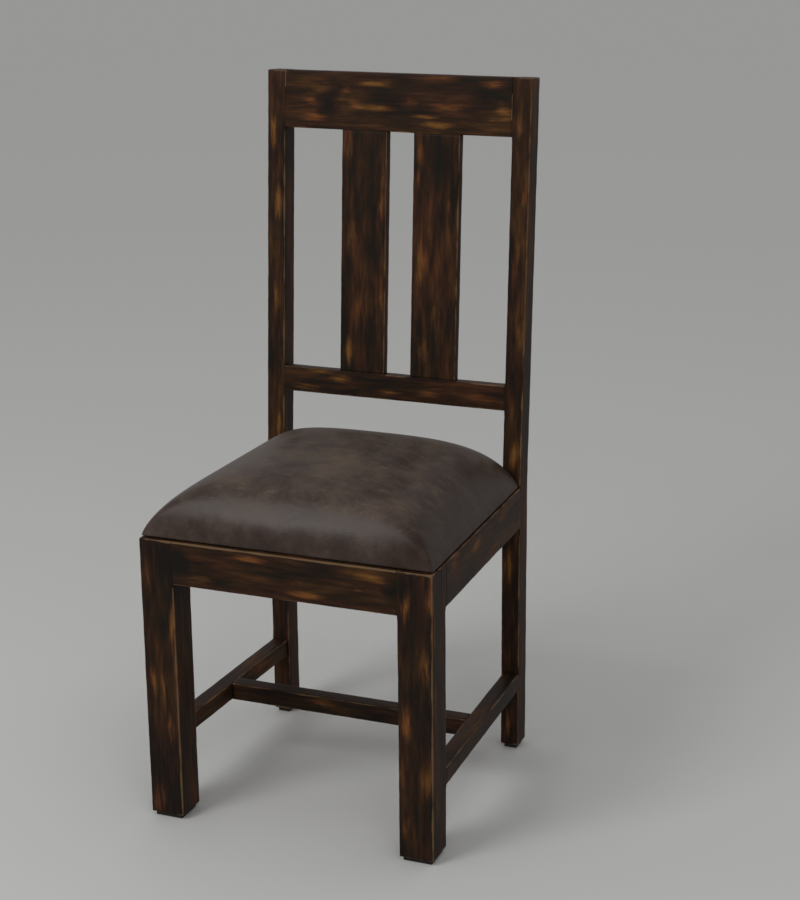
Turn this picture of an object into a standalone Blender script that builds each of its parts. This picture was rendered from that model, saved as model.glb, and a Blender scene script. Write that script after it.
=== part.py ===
# Dining chair: a mortised and tenoned wooden frame with a worn painted finish and a leather seat.
# Metres, +Z up. The chair faces -Y, and the origin is on the floor under the middle of its outline.
# Left and right are those of someone who stands in front and looks at it, so left is at -X.

import math

import bmesh
import bpy
from mathutils import Matrix, Vector

# Overall sizes
TOTAL_HEIGHT = 1.060
FRONT_WIDTH = 0.452
REAR_WIDTH = 0.430
BASE_DEPTH = 0.444  # front face of the front legs to back face of the rear posts, at the floor
SEAT_FRAME_HEIGHT = 0.440
BACK_LEAN = 0.042  # how far the top of the posts is set back
LEAN_RISE = 0.004  # the posts start to lean this far above the seat frame

# Legs and posts
FOOT_PAD_THICKNESS = 0.006
FOOT_PAD_INSET = 0.005
LEG_SECTION = 0.053
POST_WIDTH = 0.030
POST_DEPTH = 0.037

# Seat frame
APRON_HEIGHT = 0.066
APRON_THICKNESS = 0.022

# Stretchers
STRETCHER_HEIGHT = 0.028
STRETCHER_WIDTH = 0.026
STRETCHER_TOP_HEIGHT = 0.131
CROSS_STRETCHER_SETBACK = 0.215  # front face of the front legs to the front face of the cross stretcher

# Back
CREST_HEIGHT = 0.088
CREST_THICKNESS = 0.025
LOWER_RAIL_TOP_HEIGHT = 0.598
LOWER_RAIL_HEIGHT = 0.040
LOWER_RAIL_THICKNESS = 0.021
SLAT_WIDTH = 0.075
SLAT_THICKNESS = 0.016
SLAT_SPACING = 0.043  # gap between the two slats
SLAT_SHIFT = 0.0075  # the pair stands this far right of the middle, as seen from the front

# Joints
FIT = 0.0003  # clearance between pieces that touch
EDGE_ROUNDING = 0.0016
TENON_THICKNESS = 0.008
TENON_SHOULDER = 0.008
LEG_TENON_LENGTH = 0.025
POST_TENON_LENGTH = 0.016
RAIL_TENON_LENGTH = 0.012
SLAT_TENON_LENGTH = 0.012
STRETCHER_TENON_SHOULDER = 0.006
CROSS_TENON_LENGTH = 0.010

# Corner blocks and screws
BLOCK_REACH = 0.085  # along each apron from the corner of their inner faces
BLOCK_HEIGHT = 0.030
BLOCK_DROP = 0.001  # top of the block below the top of the frame
SCREW_RADIUS = 0.002
SCREW_HEAD_RADIUS = 0.004
SCREW_HEAD_HEIGHT = 0.0025
SCREW_HEAD_SIDE = 0.0019  # height of the head's side, below its domed top
SCREW_DOME_RADIUS = 0.0032
SCREW_HOLE_CLEARANCE = 0.0004
SCREW_TIP_LENGTH = 0.003
SCREW_BITE = 0.009  # depth that a screw reaches into the piece it holds
BLOCK_SCREW_GRIP = 0.015  # block material under the head of a screw into an apron
BLOCK_SCREW_MARGIN = 0.015  # from the leg or post to the axis of such a screw
BLOCK_SCREW_DROP = 0.010  # that axis below the top of the block
BLOCK_SCREW_STAGGER = 0.010  # the screw into the side apron lies this much lower
SEAT_SCREW_SETBACK = 0.009  # from the long face of a block to the axis of its seat screw
SEAT_SCREW_CLEARING = 0.005  # kept free below the block for the head of its seat screw
CUTTER_MARGIN = 0.066  # how far a notch's cutter reaches past the block

# Seat
CUSHION_FRONT_MARGIN = 0.007
CUSHION_SIDE_MARGIN = 0.004
CUSHION_REAR_GAP = 0.002
BOARD_THICKNESS = 0.009
LEATHER_THICKNESS = 0.0014
LEATHER_TURN_UNDER = 0.018
CUSHION_SIDE_HEIGHT = 0.013  # top edge of the straight side above the seat frame
CROWN_HEIGHT = 0.085
CROWN_SOFTNESS = 0.9  # smaller makes the crown rise faster at its rim
SIDE_FULLNESS = 2.2  # larger makes the crown flatter and its shoulders fuller
DEPTH_FULLNESS = 4.2
CROWN_DIVISIONS = 24

ROUND_STEPS = 12
NEARLY_PARALLEL = 0.9

# Places that follow from the sizes
LEAN_HEIGHT = SEAT_FRAME_HEIGHT + LEAN_RISE
LEAN_ANGLE = math.atan2(BACK_LEAN, TOTAL_HEIGHT - LEAN_HEIGHT)
LEANING_LENGTH = math.hypot(BACK_LEAN, TOTAL_HEIGHT - LEAN_HEIGHT)
OVERALL_DEPTH = BASE_DEPTH - POST_DEPTH + BACK_LEAN + POST_DEPTH * math.cos(LEAN_ANGLE)
FRONT_Y = -OVERALL_DEPTH / 2
LEG_BACK_Y = FRONT_Y + LEG_SECTION
POST_BACK_Y = FRONT_Y + BASE_DEPTH
POST_FRONT_Y = POST_BACK_Y - POST_DEPTH
POST_INNER_X = REAR_WIDTH / 2 - POST_WIDTH
LEG_INNER_X = FRONT_WIDTH / 2 - LEG_SECTION
SIDE_SLOPE = (REAR_WIDTH - FRONT_WIDTH) / 2 / (POST_FRONT_Y - LEG_BACK_Y)
APRON_BOTTOM = SEAT_FRAME_HEIGHT - APRON_HEIGHT
STRETCHER_BOTTOM = STRETCHER_TOP_HEIGHT - STRETCHER_HEIGHT
WOOD_BOTTOM = FOOT_PAD_THICKNESS + FIT
SIDES = (("left", -1), ("right", 1))
ENDS = ("front", "rear")


def side_x(y):
    """X of the outer side face of the right apron and stretcher at this depth."""
    return FRONT_WIDTH / 2 + SIDE_SLOPE * (y - LEG_BACK_Y)


def clear_scene():
    for obj in list(bpy.data.objects):
        bpy.data.objects.remove(obj, do_unlink=True)


def new_collection(name):
    found = bpy.data.collections.new(name)
    bpy.context.scene.collection.children.link(found)
    return found


def new_material(name, colour, roughness, metallic=0.0):
    material = bpy.data.materials.new(name)
    material.use_nodes = True
    shader = material.node_tree.nodes["Principled BSDF"]
    shader.inputs["Base Color"].default_value = (*colour, 1.0)
    shader.inputs["Roughness"].default_value = roughness
    shader.inputs["Metallic"].default_value = metallic
    return material


clear_scene()
CHAIR = new_collection("worn_paint_chair")
CUTTERS = new_collection("cutters")
WORN_PAINT = new_material("worn_paint_wood", (0.032, 0.022, 0.015), 0.55)
BARE_WOOD = new_material("bare_wood", (0.23, 0.13, 0.065), 0.75)
PLYWOOD = new_material("plywood", (0.45, 0.31, 0.18), 0.8)
FOAM = new_material("foam", (0.68, 0.62, 0.42), 0.95)
LEATHER = new_material("seat_leather", (0.062, 0.044, 0.036), 0.42)
PAD = new_material("foot_pad", (0.015, 0.014, 0.013), 0.9)
STEEL = new_material("screw_steel", (0.42, 0.41, 0.39), 0.4, 1.0)


def object_from(bm, name, material, collection=CHAIR):
    bmesh.ops.recalc_face_normals(bm, faces=bm.faces)
    mesh = bpy.data.meshes.new(name)
    bm.to_mesh(mesh)
    bm.free()
    obj = bpy.data.objects.new(name, mesh)
    collection.objects.link(obj)
    if material:
        mesh.materials.append(material)
    return obj


def add_box(bm, low, high):
    """A box between two corners, and its vertices."""
    low, high = Vector(low), Vector(high)
    size = high - low
    made = bmesh.ops.create_cube(bm, size=1.0)["verts"]
    bmesh.ops.scale(bm, vec=size, verts=made)
    bmesh.ops.translate(bm, vec=(low + high) / 2, verts=made)
    return made


def mark_rounded(bm, wanted):
    """Marks the edges that the Bevel modifier rounds."""
    weight = bm.edges.layers.float.get("bevel_weight_edge") or bm.edges.layers.float.new("bevel_weight_edge")
    for edge in bm.edges:
        if wanted(edge):
            edge[weight] = 1.0


def along(axis):
    """A test for the edges that run along an axis, within the slope of the side pieces."""

    def wanted(edge):
        run = edge.verts[1].co - edge.verts[0].co
        return abs(run[axis]) > NEARLY_PARALLEL * run.length

    return wanted


def round_edges(obj):
    bevel = obj.modifiers.new("rounded edges", "BEVEL")
    bevel.limit_method = "WEIGHT"
    bevel.width = EDGE_ROUNDING
    bevel.segments = 2


def cut(obj, cutter):
    boolean = obj.modifiers.new("cut by " + cutter.name, "BOOLEAN")
    boolean.operation = "DIFFERENCE"
    boolean.object = cutter


def as_cutter(obj):
    obj.hide_render = True
    obj.display_type = "WIRE"
    return obj


def cutter_from(bm, name):
    return as_cutter(object_from(bm, name, None, CUTTERS))


def grow_tenon(bm, axis, sign, section, length, centre):
    """Steps the end face in to the tenon's section, then draws it out.

    section and centre are for the two axes that the bar doesn't run along.
    """
    end = max(bm.faces, key=lambda face: face.calc_center_median()[axis] * sign)
    for step in (0.0, length):
        grown = bmesh.ops.extrude_face_region(bm, geom=[end])["geom"]
        verts = [item for item in grown if isinstance(item, bmesh.types.BMVert)]
        bmesh.ops.delete(bm, geom=[end], context="FACES_ONLY")
        end = next(item for item in grown if isinstance(item, bmesh.types.BMFace))
        if step:
            shift = Vector((0, 0, 0))
            shift[axis] = sign * step
            bmesh.ops.translate(bm, vec=shift, verts=verts)
        else:
            others = [a for a in range(3) if a != axis]
            middle = end.calc_center_median()
            for vert in verts:
                for a, size, place in zip(others, section, centre):
                    vert.co[a] = place + math.copysign(size / 2, vert.co[a] - middle[a])


def tenoned_bar(low, high, axis, shoulder, tenon_lengths, thickness_axis):
    """A bar along an axis with a tenon of its own length on the low and the high end, before it is placed."""
    bm = bmesh.new()
    add_box(bm, low, high)
    mark_rounded(bm, along(axis))
    others = [a for a in range(3) if a != axis]
    section, centre = [], []
    for a in others:
        size = TENON_THICKNESS if a == thickness_axis else high[a] - low[a] - 2 * shoulder
        section.append(size)
        centre.append((low[a] + high[a]) / 2)
    bm.faces.ensure_lookup_table()
    bm.normal_update()
    for sign, length in zip((-1, 1), tenon_lengths):
        grow_tenon(bm, axis, sign, section, length, centre)
        bm.normal_update()
    return bm


def mortise_box(low, high, axis, shoulder, tenon_lengths, thickness_axis):
    """The space of both of a bar's tenons with clearance, as boxes in one mesh."""
    bm = bmesh.new()
    for end, length in zip((0, 1), tenon_lengths):
        corner_low, corner_high = list(low), list(high)
        for a in range(3):
            if a == axis:
                continue
            middle = (low[a] + high[a]) / 2
            size = TENON_THICKNESS if a == thickness_axis else high[a] - low[a] - 2 * shoulder
            corner_low[a] = middle - size / 2 - FIT
            corner_high[a] = middle + size / 2 + FIT
        if end == 0:
            corner_low[axis] = low[axis] - length - FIT
            corner_high[axis] = low[axis] + length
        else:
            corner_low[axis] = high[axis] - length
            corner_high[axis] = high[axis] + length + FIT
        add_box(bm, corner_low, corner_high)
    return bm


def slope_side(bm, side):
    """Draws a right or left side piece along the slope of the seat's outline."""
    for vert in bm.verts:
        vert.co.x += side * SIDE_SLOPE * (vert.co.y - LEG_BACK_Y)


def lean(bm):
    """Takes a piece of the back from its upright place to the leaning plane of the posts."""
    turn = Matrix.Translation((0, POST_FRONT_Y, LEAN_HEIGHT)) @ Matrix.Rotation(-LEAN_ANGLE, 4, "X")
    bmesh.ops.transform(bm, matrix=turn, verts=bm.verts)


def up_the_back(height):
    """Distance up the leaning front face to this height above the floor."""
    return (height - LEAN_HEIGHT) / math.cos(LEAN_ANGLE)


def front_leg(name, side):
    outer, inner = side * FRONT_WIDTH / 2, side * LEG_INNER_X
    bm = bmesh.new()
    add_box(
        bm,
        (min(outer, inner), FRONT_Y, WOOD_BOTTOM),
        (max(outer, inner), LEG_BACK_Y, SEAT_FRAME_HEIGHT),
    )
    mark_rounded(bm, along(2))
    leg = object_from(bm, name, WORN_PAINT)
    round_edges(leg)
    return leg


def rear_post(name, side):
    """One piece from the floor to the top: upright to just above the seat, then leaning back."""
    outer, inner = side * REAR_WIDTH / 2, side * POST_INNER_X
    bm = bmesh.new()
    add_box(
        bm,
        (min(outer, inner), POST_FRONT_Y, WOOD_BOTTOM),
        (max(outer, inner), POST_BACK_Y, LEAN_HEIGHT),
    )
    bm.normal_update()
    top = max(bm.faces, key=lambda face: face.normal.z)
    for vert in top.verts:
        if vert.co.y > (POST_FRONT_Y + POST_BACK_Y) / 2:
            vert.co.z -= POST_DEPTH * math.tan(LEAN_ANGLE / 2)
    grown = bmesh.ops.extrude_face_region(bm, geom=[top])["geom"]
    bmesh.ops.delete(bm, geom=[top], context="FACES_ONLY")
    crown = next(item for item in grown if isinstance(item, bmesh.types.BMFace))
    square_back = Vector((0, math.cos(LEAN_ANGLE), -math.sin(LEAN_ANGLE))) * POST_DEPTH
    for vert in crown.verts:
        at_back = vert.co.y > (POST_FRONT_Y + POST_BACK_Y) / 2
        vert.co.y = POST_FRONT_Y + BACK_LEAN + (square_back.y if at_back else 0)
        vert.co.z = TOTAL_HEIGHT + (square_back.z if at_back else 0)
    mark_rounded(bm, along(2))
    post = object_from(bm, name, WORN_PAINT)
    round_edges(post)
    return post


def tenoned_piece(name, low, high, axis, shoulder, lengths, thickness_axis, place=None):
    """A rail, slat or stretcher, and the cutter for the mortises that hold it."""
    bm = tenoned_bar(low, high, axis, shoulder, lengths, thickness_axis)
    holes = mortise_box(low, high, axis, shoulder, lengths, thickness_axis)
    if place:
        place(bm)
        place(holes)
    piece = object_from(bm, name, WORN_PAINT)
    round_edges(piece)
    return piece, cutter_from(holes, name + "_mortises")


def side_bar(name, side, bottom, top, width, shoulder):
    """An apron or stretcher between a front leg and a rear post, flush with their outer faces."""
    outer, inner = side * FRONT_WIDTH / 2, side * (FRONT_WIDTH / 2 - width)
    low = (min(outer, inner), LEG_BACK_Y + FIT, bottom)
    high = (max(outer, inner), POST_FRONT_Y - FIT, top)
    lengths = (LEG_TENON_LENGTH, POST_TENON_LENGTH)
    return tenoned_piece(name, low, high, 1, shoulder, lengths, 0, lambda bm: slope_side(bm, side))


def cross_bar(name):
    """The stretcher between the two side stretchers. Its shoulders follow their slope."""
    front = FRONT_Y + CROSS_STRETCHER_SETBACK
    back = front + STRETCHER_WIDTH
    reach = side_x((front + back) / 2) - STRETCHER_WIDTH - FIT
    low = (-reach, front, STRETCHER_BOTTOM)
    high = (reach, back, STRETCHER_TOP_HEIGHT)

    def follow_sides(bm):
        for vert in bm.verts:
            vert.co.x *= 1 + SIDE_SLOPE / reach * (vert.co.y - (front + back) / 2)

    lengths = (CROSS_TENON_LENGTH, CROSS_TENON_LENGTH)
    return tenoned_piece(name, low, high, 0, STRETCHER_TENON_SHOULDER, lengths, 1, follow_sides)


def back_rail(name, bottom, top, thickness):
    """A rail between the posts, flush with their front faces. bottom and top are distances up the lean."""
    reach = POST_INNER_X - FIT
    low, high = (-reach, 0, bottom), (reach, thickness, top)
    lengths = (RAIL_TENON_LENGTH, RAIL_TENON_LENGTH)
    return tenoned_piece(name, low, high, 0, TENON_SHOULDER, lengths, 1, lean)


def back_slat(name, side):
    near = SLAT_SHIFT + side * SLAT_SPACING / 2
    far = near + side * SLAT_WIDTH
    low = (min(near, far), 0, up_the_back(LOWER_RAIL_TOP_HEIGHT) + FIT)
    high = (max(near, far), SLAT_THICKNESS, LEANING_LENGTH - CREST_HEIGHT - FIT)
    lengths = (SLAT_TENON_LENGTH, SLAT_TENON_LENGTH)
    return tenoned_piece(name, low, high, 2, TENON_SHOULDER, lengths, 1, lean)


def turned(name, profile, origin, direction, material, collection):
    """Turns a profile of (radius, height) points, listed from the top down, about a line."""
    bm = bmesh.new()
    points = [bm.verts.new((radius, 0, height)) for radius, height in profile]
    for pair in zip(points, points[1:]):
        bm.edges.new(pair)
    obj = object_from(bm, name, material, collection)
    screw_turn = obj.modifiers.new("turned", "SCREW")
    screw_turn.steps = screw_turn.render_steps = ROUND_STEPS
    screw_turn.use_merge_vertices = True
    screw_turn.merge_threshold = 1e-5
    turn = Vector(direction).to_track_quat("Z", "Y").to_matrix().to_4x4()
    obj.matrix_world = Matrix.Translation(origin) @ turn
    return obj


def screw(name, seat, direction, length):
    """A pan head screw whose head bears at seat. Its shank runs along direction for this length."""
    profile = (
        (0, length),
        (SCREW_RADIUS, length - SCREW_TIP_LENGTH),
        (SCREW_RADIUS, 0),
        (SCREW_HEAD_RADIUS, 0),
        (SCREW_DOME_RADIUS, -SCREW_HEAD_SIDE),
        (0, -SCREW_HEAD_HEIGHT),
    )
    return turned(name, profile, seat, direction, STEEL, CHAIR)


def screw_hole(name, seat, direction, length, open_length):
    """The space of a screw with clearance, with its counterbore running back for open_length."""
    hole = SCREW_RADIUS + SCREW_HOLE_CLEARANCE
    bore = SCREW_HEAD_RADIUS + SCREW_HOLE_CLEARANCE
    profile = (
        (0, length + FIT),
        (hole, length + FIT),
        (hole, 0),
        (bore, 0),
        (bore, -open_length),
        (0, -open_length),
    )
    return as_cutter(turned(name, profile, seat, direction, None, CUTTERS))


def apron_inner_x(y):
    """X of the plane that a block keeps to beside the right apron's inner face, at this depth."""
    return side_x(y) - APRON_THICKNESS - FIT


def corner_block(name, side, end, aprons):
    """A glue block across an inner corner of the seat frame, with its two screws into the aprons.

    A front block is notched round the leg. It comes back with the place of its third screw.
    """
    side_apron, end_apron = aprons
    at_front = end == "front"
    inward = 1 if at_front else -1
    corner_y = (FRONT_Y + APRON_THICKNESS if at_front else POST_FRONT_Y) + inward * FIT
    corner_x = apron_inner_x(corner_y)
    far_y = corner_y + inward * BLOCK_REACH
    near_x = corner_x - BLOCK_REACH
    notch_x, notch_y = (LEG_INNER_X - FIT, LEG_BACK_Y + FIT) if at_front else (corner_x, corner_y)
    top = SEAT_FRAME_HEIGHT - BLOCK_DROP
    bottom = top - BLOCK_HEIGHT

    # A box longer than the block, which the slice then cuts to its long slanted face
    bm = bmesh.new()
    add_box(bm, (near_x - BLOCK_REACH, min(corner_y, far_y), bottom), (corner_x, max(corner_y, far_y), top))
    for vert in bm.verts:
        vert.co.x += SIDE_SLOPE * (vert.co.y - corner_y)
    across = Vector((apron_inner_x(far_y) - near_x, far_y - corner_y, 0))
    cut_off = Vector((-abs(across.y), inward * across.x, 0))
    whole = bm.verts[:] + bm.edges[:] + bm.faces[:]
    sliced = bmesh.ops.bisect_plane(
        bm, geom=whole, plane_co=(near_x, corner_y, top), plane_no=cut_off, clear_outer=True
    )
    rim = [item for item in sliced["geom_cut"] if isinstance(item, bmesh.types.BMEdge)]
    bmesh.ops.contextual_create(bm, geom=rim)
    bmesh.ops.scale(bm, vec=(side, 1, 1), verts=bm.verts)
    block = object_from(bm, name, BARE_WOOD)
    if at_front:
        bm = bmesh.new()
        clear = CUTTER_MARGIN
        add_box(bm, (notch_x, FRONT_Y, bottom - clear), (FRONT_WIDTH / 2 + clear, notch_y, top + clear))
        bmesh.ops.scale(bm, vec=(side, 1, 1), verts=bm.verts)
        cut(block, cutter_from(bm, name + "_notch"))

    # One screw into each apron, each in a counterbore from the long face
    into_end_x = notch_x - BLOCK_SCREW_MARGIN
    into_side_y = notch_y + inward * BLOCK_SCREW_MARGIN
    upper, lower = top - BLOCK_SCREW_DROP, top - BLOCK_SCREW_DROP - BLOCK_SCREW_STAGGER
    length = BLOCK_SCREW_GRIP + FIT + SCREW_BITE
    into_end = (
        (side * into_end_x, corner_y + inward * BLOCK_SCREW_GRIP, upper),
        (0, -inward, 0),
        end_apron,
    )
    into_side = (
        (side * (apron_inner_x(into_side_y) - BLOCK_SCREW_GRIP), into_side_y, lower),
        (side, 0, 0),
        side_apron,
    )
    for way, (seat, direction, apron) in (("a", into_end), ("b", into_side)):
        clear_seat = Vector(seat) - Vector(direction) * FIT
        label = f"block_screw_{end}_{name.rsplit('_', 1)[1]}_{way}"
        screw(label, clear_seat, direction, length)
        hole = screw_hole(label + "_hole", seat, direction, length, BLOCK_REACH)
        cut(block, hole)
        cut(apron, hole)

    # One screw up into the seat board, near the long face
    middle = Vector((near_x, corner_y, bottom)) + across / 2 - cut_off.normalized() * SEAT_SCREW_SETBACK
    return block, (side * middle.x, middle.y, bottom)


def seat_screw(name, place, board_bottom, block, board):
    up = (0, 0, 1)
    length = board_bottom - place[2] + FIT + SCREW_BITE
    screw(name, Vector(place) - Vector(up) * FIT, up, length)
    hole = screw_hole(name + "_hole", place, up, length, SEAT_SCREW_CLEARING)
    cut(block, hole)
    cut(board, hole)


def cushion_outline(inset):
    """Front and rear half widths and the front and rear Y of the cushion, drawn in by this much."""
    front = FRONT_WIDTH / 2 - CUSHION_SIDE_MARGIN - inset
    rear = REAR_WIDTH / 2 - CUSHION_SIDE_MARGIN - inset
    return (
        front,
        rear,
        FRONT_Y + CUSHION_FRONT_MARGIN + inset,
        POST_FRONT_Y - CUSHION_REAR_GAP - inset,
    )


def cushion_plate(bm, inset, bottom, top):
    """A flat plate with the outline of the cushion."""
    front, rear, front_y, rear_y = cushion_outline(inset)
    for vert in add_box(bm, (-1, front_y, bottom), (1, rear_y, top)):
        vert.co.x *= front if vert.co.y < (front_y + rear_y) / 2 else rear


def crown_rise(u, v):
    """How far the crown has risen, from 0 at the rim to 1 in the middle, with soft ridges to its corners."""
    across = 1 - abs(u) ** SIDE_FULLNESS
    along_depth = 1 - abs(v) ** DEPTH_FULLNESS
    if min(across, along_depth) <= 0:
        return 0.0
    return math.sqrt(2 / (across**-2 + along_depth**-2))


def crowned_top(bm, inset, drop):
    """The domed top of the cushion as an open sheet, drawn in and lowered by these."""
    front, rear, front_y, rear_y = cushion_outline(inset)
    edge = SEAT_FRAME_HEIGHT + CUSHION_SIDE_HEIGHT - drop
    bmesh.ops.create_grid(bm, x_segments=CROWN_DIVISIONS, y_segments=CROWN_DIVISIONS, size=1.0)
    for vert in bm.verts:
        # Rows lie closer together near the edges, where the crown bends most
        u = math.sin(vert.co.x * math.pi / 2)
        v = math.sin(vert.co.y * math.pi / 2)
        rise = crown_rise(u, v) ** CROWN_SOFTNESS
        share = (v + 1) / 2
        vert.co.x = u * (front + (rear - front) * share)
        vert.co.y = front_y + (rear_y - front_y) * share
        vert.co.z = edge + CROWN_HEIGHT * rise


def draw_out(bm, edges, change):
    """Extrudes a loop of edges and moves its new points with change. Returns the new edges."""
    grown = bmesh.ops.extrude_edge_only(bm, edges=edges)["geom"]
    for vert in grown:
        if isinstance(vert, bmesh.types.BMVert):
            change(vert)
    return [edge for edge in grown if isinstance(edge, bmesh.types.BMEdge)]


def make_cushion():
    """Seat board, foam and the leather that is drawn over them and turned under the board."""
    wrap = LEATHER_THICKNESS + FIT
    board_bottom = SEAT_FRAME_HEIGHT + FIT + wrap
    board_top = board_bottom + BOARD_THICKNESS

    bm = bmesh.new()
    cushion_plate(bm, wrap, board_bottom, board_top)
    board = object_from(bm, "seat_board", PLYWOOD)

    bm = bmesh.new()
    crowned_top(bm, wrap, wrap)
    rim = [edge for edge in bm.edges if edge.is_boundary]

    def to_board(vert):
        vert.co.z = board_top + FIT

    bottom_rim = draw_out(bm, rim, to_board)
    bmesh.ops.contextual_create(bm, geom=bottom_rim)
    object_from(bm, "seat_foam", FOAM)

    bm = bmesh.new()
    crowned_top(bm, 0, 0)
    rim = [edge for edge in bm.edges if edge.is_boundary]

    def to_frame(vert):
        vert.co.z = SEAT_FRAME_HEIGHT + FIT

    front, rear, front_y, rear_y = cushion_outline(0)
    middle_y = (front_y + rear_y) / 2

    def turn_under(vert):
        half = front + (rear - front) * (vert.co.y - front_y) / (rear_y - front_y)
        vert.co.x *= (half - LEATHER_TURN_UNDER) / half
        vert.co.y = middle_y + (vert.co.y - middle_y) * (1 - LEATHER_TURN_UNDER / (rear_y - middle_y))

    draw_out(bm, draw_out(bm, rim, to_frame), turn_under)
    leather = object_from(bm, "seat_leather", LEATHER)
    shell = leather.modifiers.new("leather", "SOLIDIFY")
    shell.thickness = LEATHER_THICKNESS
    shell.offset = -1
    shell.use_even_offset = True
    return board, board_bottom


def foot_pad(name, x, y, width, depth):
    bm = bmesh.new()
    half_x, half_y = width / 2 - FOOT_PAD_INSET, depth / 2 - FOOT_PAD_INSET
    add_box(bm, (x - half_x, y - half_y, 0), (x + half_x, y + half_y, FOOT_PAD_THICKNESS))
    object_from(bm, name, PAD)


def make_chair():
    legs = {name: front_leg("front_leg_" + name, side) for name, side in SIDES}
    posts = {name: rear_post("rear_post_" + name, side) for name, side in SIDES}

    # Seat frame
    aprons = {}
    for name, side in SIDES:
        aprons[name], holes = side_bar(
            "side_apron_" + name, side, APRON_BOTTOM, SEAT_FRAME_HEIGHT, APRON_THICKNESS, TENON_SHOULDER
        )
        cut(legs[name], holes)
        cut(posts[name], holes)
    leg_reach, post_reach = LEG_INNER_X - FIT, POST_INNER_X - FIT
    aprons["front"], front_holes = tenoned_piece(
        "front_apron",
        (-leg_reach, FRONT_Y, APRON_BOTTOM),
        (leg_reach, FRONT_Y + APRON_THICKNESS, SEAT_FRAME_HEIGHT),
        0,
        TENON_SHOULDER,
        (LEG_TENON_LENGTH, LEG_TENON_LENGTH),
        1,
    )
    aprons["rear"], rear_holes = tenoned_piece(
        "rear_apron",
        (-post_reach, POST_FRONT_Y, APRON_BOTTOM),
        (post_reach, POST_FRONT_Y + APRON_THICKNESS, SEAT_FRAME_HEIGHT),
        0,
        TENON_SHOULDER,
        (RAIL_TENON_LENGTH, RAIL_TENON_LENGTH),
        1,
    )

    # Back
    crest_bottom = LEANING_LENGTH - CREST_HEIGHT
    lower_top = up_the_back(LOWER_RAIL_TOP_HEIGHT)
    crest, crest_holes = back_rail("crest_rail", crest_bottom, LEANING_LENGTH, CREST_THICKNESS)
    lower, lower_holes = back_rail(
        "lower_back_rail", lower_top - LOWER_RAIL_HEIGHT, lower_top, LOWER_RAIL_THICKNESS
    )
    for name, side in SIDES:
        slat_holes = back_slat("back_slat_" + name, side)[1]
        cut(crest, slat_holes)
        cut(lower, slat_holes)
    for name, side in SIDES:
        cut(legs[name], front_holes)
        for holes in (rear_holes, crest_holes, lower_holes):
            cut(posts[name], holes)

    # Stretchers
    cross_holes = cross_bar("cross_stretcher")[1]
    for name, side in SIDES:
        stretcher, holes = side_bar(
            "side_stretcher_" + name,
            side,
            STRETCHER_BOTTOM,
            STRETCHER_TOP_HEIGHT,
            STRETCHER_WIDTH,
            STRETCHER_TENON_SHOULDER,
        )
        cut(stretcher, cross_holes)
        cut(legs[name], holes)
        cut(posts[name], holes)

    # Seat, corner blocks and their screws
    board, board_bottom = make_cushion()
    for end in ENDS:
        for name, side in SIDES:
            block, screw_place = corner_block(
                f"corner_block_{end}_{name}", side, end, (aprons[name], aprons[end])
            )
            seat_screw(f"seat_screw_{end}_{name}", screw_place, board_bottom, block, board)

    # Feet
    for name, side in SIDES:
        foot_pad(
            "foot_pad_front_" + name,
            side * (FRONT_WIDTH - LEG_SECTION) / 2,
            FRONT_Y + LEG_SECTION / 2,
            LEG_SECTION,
            LEG_SECTION,
        )
        foot_pad(
            "foot_pad_rear_" + name,
            side * (REAR_WIDTH - POST_WIDTH) / 2,
            POST_BACK_Y - POST_DEPTH / 2,
            POST_WIDTH,
            POST_DEPTH,
        )


make_chair()
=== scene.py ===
import math

import bmesh
import bpy
from mathutils import Matrix, Vector


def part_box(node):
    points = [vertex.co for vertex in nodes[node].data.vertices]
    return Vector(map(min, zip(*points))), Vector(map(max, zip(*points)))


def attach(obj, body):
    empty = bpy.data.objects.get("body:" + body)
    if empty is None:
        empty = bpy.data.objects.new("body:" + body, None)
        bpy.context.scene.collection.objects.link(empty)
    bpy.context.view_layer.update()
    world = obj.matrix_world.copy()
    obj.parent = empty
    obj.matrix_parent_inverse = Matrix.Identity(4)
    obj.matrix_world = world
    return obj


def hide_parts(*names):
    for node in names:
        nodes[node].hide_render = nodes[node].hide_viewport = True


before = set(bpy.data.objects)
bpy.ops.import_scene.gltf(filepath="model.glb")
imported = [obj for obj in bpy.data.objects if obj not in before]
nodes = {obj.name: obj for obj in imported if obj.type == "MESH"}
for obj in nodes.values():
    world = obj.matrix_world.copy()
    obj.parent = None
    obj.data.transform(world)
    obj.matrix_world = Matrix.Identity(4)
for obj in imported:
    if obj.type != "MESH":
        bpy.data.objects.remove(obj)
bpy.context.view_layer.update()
print("frame loaded:", len(nodes), "nodes")


# camera, as in the photograph (800 x 900)
view = {
    "azimuth": 22.02,
    "elevation": 16.81,
    "roll": -0.58,
    "distance": 2.957,
    "target": (0.0785, 0.0099, 0.5313),
    "lens": 79.86,
    "sensor": 36.0,
    "frameWidth": 800,
    "frameHeight": 900,
}


def cameraAxes():
    azimuth, elevation, roll = (math.radians(view[k]) for k in ("azimuth", "elevation", "roll"))
    back = Vector((
        math.sin(azimuth) * math.cos(elevation),
        -math.cos(azimuth) * math.cos(elevation),
        math.sin(elevation),
    ))
    level = Vector((0, 0, 1)).cross(back).normalized()
    upright = back.cross(level)
    right = level * math.cos(roll) + upright * math.sin(roll)
    up = upright * math.cos(roll) - level * math.sin(roll)
    return right, up, back


def addCamera():
    right, up, back = cameraAxes()
    place = Vector(view["target"]) + back * view["distance"]
    camera = bpy.data.cameras.new("photoCamera")
    camera.lens = view["lens"]
    camera.sensor_width = view["sensor"]
    cameraObject = bpy.data.objects.new("photoCamera", camera)
    cameraObject.matrix_world = Matrix.Translation(place) @ Matrix((right, up, back)).transposed().to_4x4()
    bpy.context.scene.collection.objects.link(cameraObject)
    bpy.context.scene.camera = cameraObject


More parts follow.
